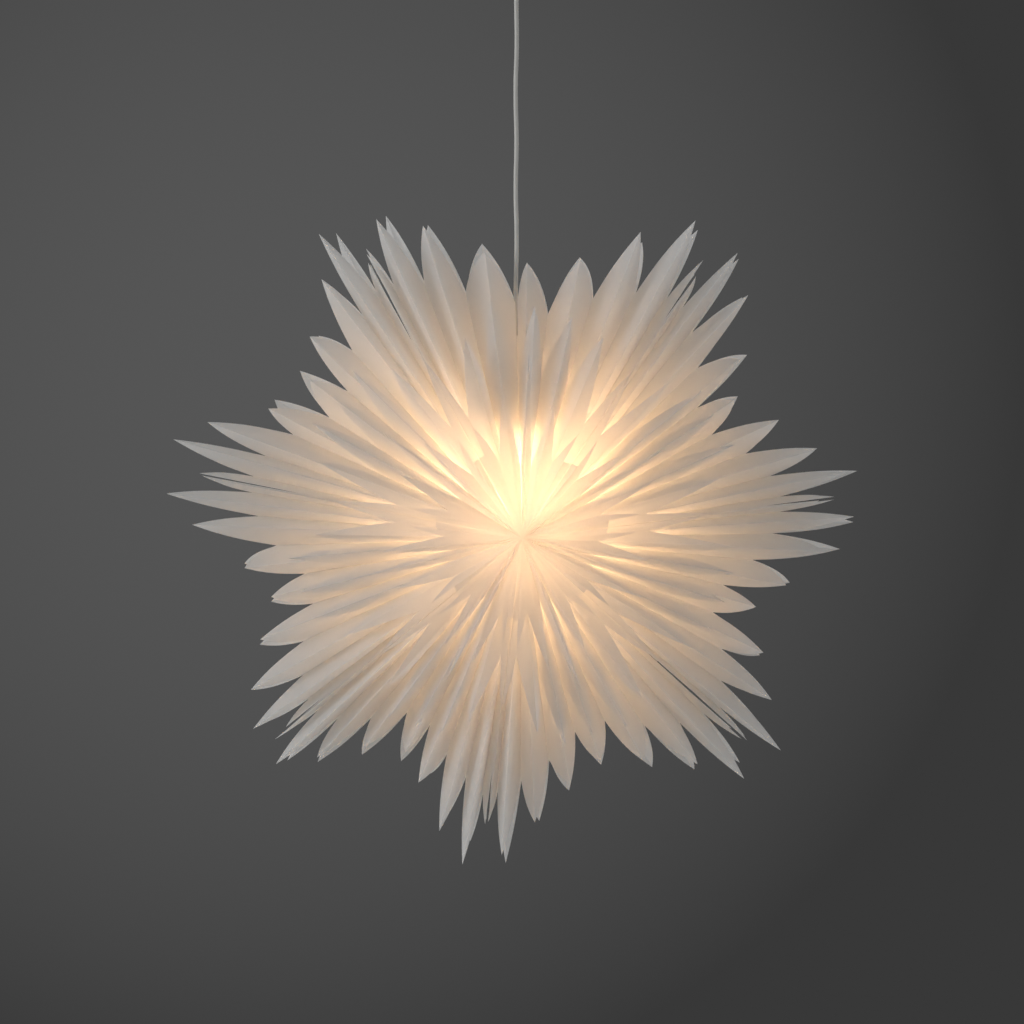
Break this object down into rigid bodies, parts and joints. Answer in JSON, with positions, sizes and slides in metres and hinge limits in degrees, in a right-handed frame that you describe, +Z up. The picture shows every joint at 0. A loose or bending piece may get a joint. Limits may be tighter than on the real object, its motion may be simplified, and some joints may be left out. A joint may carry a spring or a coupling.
{
  "type": "folded paper star pendant",
  "caption": "Paper star pendant with pleated, leaf-tipped lobes in layers, on a white flex from a ceiling cup and hook, with lampholder and bulb inside.",
  "frame": {"origin": "middle of the hook plate, on its face against the ceiling", "axes": "+Z up, +Y from front to back along the star's axis, +X to the right as seen from the front"},
  "size_m": [0.7961, 0.2632, 1.0952],
  "materials": {
    "paper": "uncoated white lantern paper, folded, lets warm light through",
    "card": "stiff white card",
    "brass_pins": "plain split pins",
    "holder_plastic": "moulded white plastic",
    "insert_plastic": "moulded insert",
    "sleeve_metal": "pressed threaded sleeve",
    "bulb_metal": "pressed screw cap",
    "bulb_insulator": "dark insulator with a solder point",
    "bulb_glass": "opal glass, warm and bright when lit",
    "zinc_steel": "bright zinc",
    "cup_plastic": "moulded white plastic, fine satin",
    "clear_plastic": "milky connector plastic",
    "wire_sleeve": "core sleeve",
    "flex": "white round flex"
  },
  "bodies": {
    "ceiling_fitting": {"ceiling_plate": "zinc_steel", "ceiling_hook": "zinc_steel"},
    "hanger": {"cord_hanger": "cup_plastic", "terminal_block": "clear_plastic", "lead_wires": "wire_sleeve"},
    "pendant": {"closing_board_left": "card", "closing_board_right": "card", "closing_pins": "brass_pins", "contact_insert": "insert_plastic", "cord": "flex", "holder_cap": "holder_plastic", "holder_cord_screw": "holder_plastic", "holder_shell": "holder_plastic", "seam_rib_1": "card", "seam_rib_2": "card", "seam_rib_3": "card", "seam_rib_4": "card", "seam_rib_5": "card", "seam_rib_6": "card", "seam_rib_7": "card", "segment_1_outer_back": "paper", "segment_1_outer_front": "paper", "segment_1_petals_back": "paper", "segment_1_petals_front": "paper", "segment_2_outer_back": "paper", "segment_2_outer_front": "paper", "segment_2_petals_back": "paper", "segment_2_petals_front": "paper", "segment_3_outer_back": "paper", "segment_3_outer_front": "paper", "segment_3_petals_back": "paper", "segment_3_petals_front": "paper", "segment_4_outer_back": "paper", "segment_4_outer_front": "paper", "segment_4_petals_back": "paper", "segment_4_petals_front": "paper", "segment_5_outer_back": "paper", "segment_5_outer_front": "paper", "segment_5_petals_back": "paper", "segment_5_petals_front": "paper", "segment_6_outer_back": "paper", "segment_6_outer_front": "paper", "segment_6_petals_back": "paper", "segment_6_petals_front": "paper", "segment_7_outer_back": "paper", "segment_7_outer_front": "paper", "segment_7_petals_back": "paper", "segment_7_petals_front": "paper", "segment_8_outer_back": "paper", "segment_8_outer_front": "paper", "segment_8_petals_back": "paper", "segment_8_petals_front": "paper", "thread_sleeve": "sleeve_metal"},
    "cup": {"ceiling_cup": "cup_plastic"},
    "grip_screw": {"cup_grip_screw": "cup_plastic"},
    "shade_ring": {"shade_ring": "holder_plastic"},
    "bulb": {"bulb_cap": "bulb_metal", "bulb_tip": "bulb_insulator", "bulb_glass": "bulb_glass"}
  },
  "joints": [
    {"name": "pendant_swing", "type": "hinge", "parent": "ceiling_fitting", "child": "hanger", "pos_m": [0, 0, -0.024], "axis": [0, 1, 0], "range_deg": [-6, 6]},
    {"name": "flex_twist", "type": "hinge", "parent": "hanger", "child": "pendant", "pos_m": [0, 0, -0.05], "axis": [0, 0, 1], "range_deg": [-90, 90]},
    {"name": "cup_slide", "type": "slide", "parent": "hanger", "child": "cup", "axis": [0, 0, -1], "range_m": [0, 0.3]},
    {"name": "grip_screw_turn", "type": "hinge", "parent": "cup", "child": "grip_screw", "pos_m": [0, 0, -0.068], "axis": [1, 0, 0], "range_deg": [0, 900]},
    {"name": "shade_ring_turn", "type": "hinge", "parent": "pendant", "child": "shade_ring", "pos_m": [0, 0, -0.612], "axis": [0, 0, -1], "range_deg": [0, 810]},
    {"name": "bulb_turn", "type": "hinge", "parent": "pendant", "child": "bulb", "pos_m": [0, 0, -0.668], "axis": [0, 0, -1], "range_deg": [0, 990]}
  ]
}
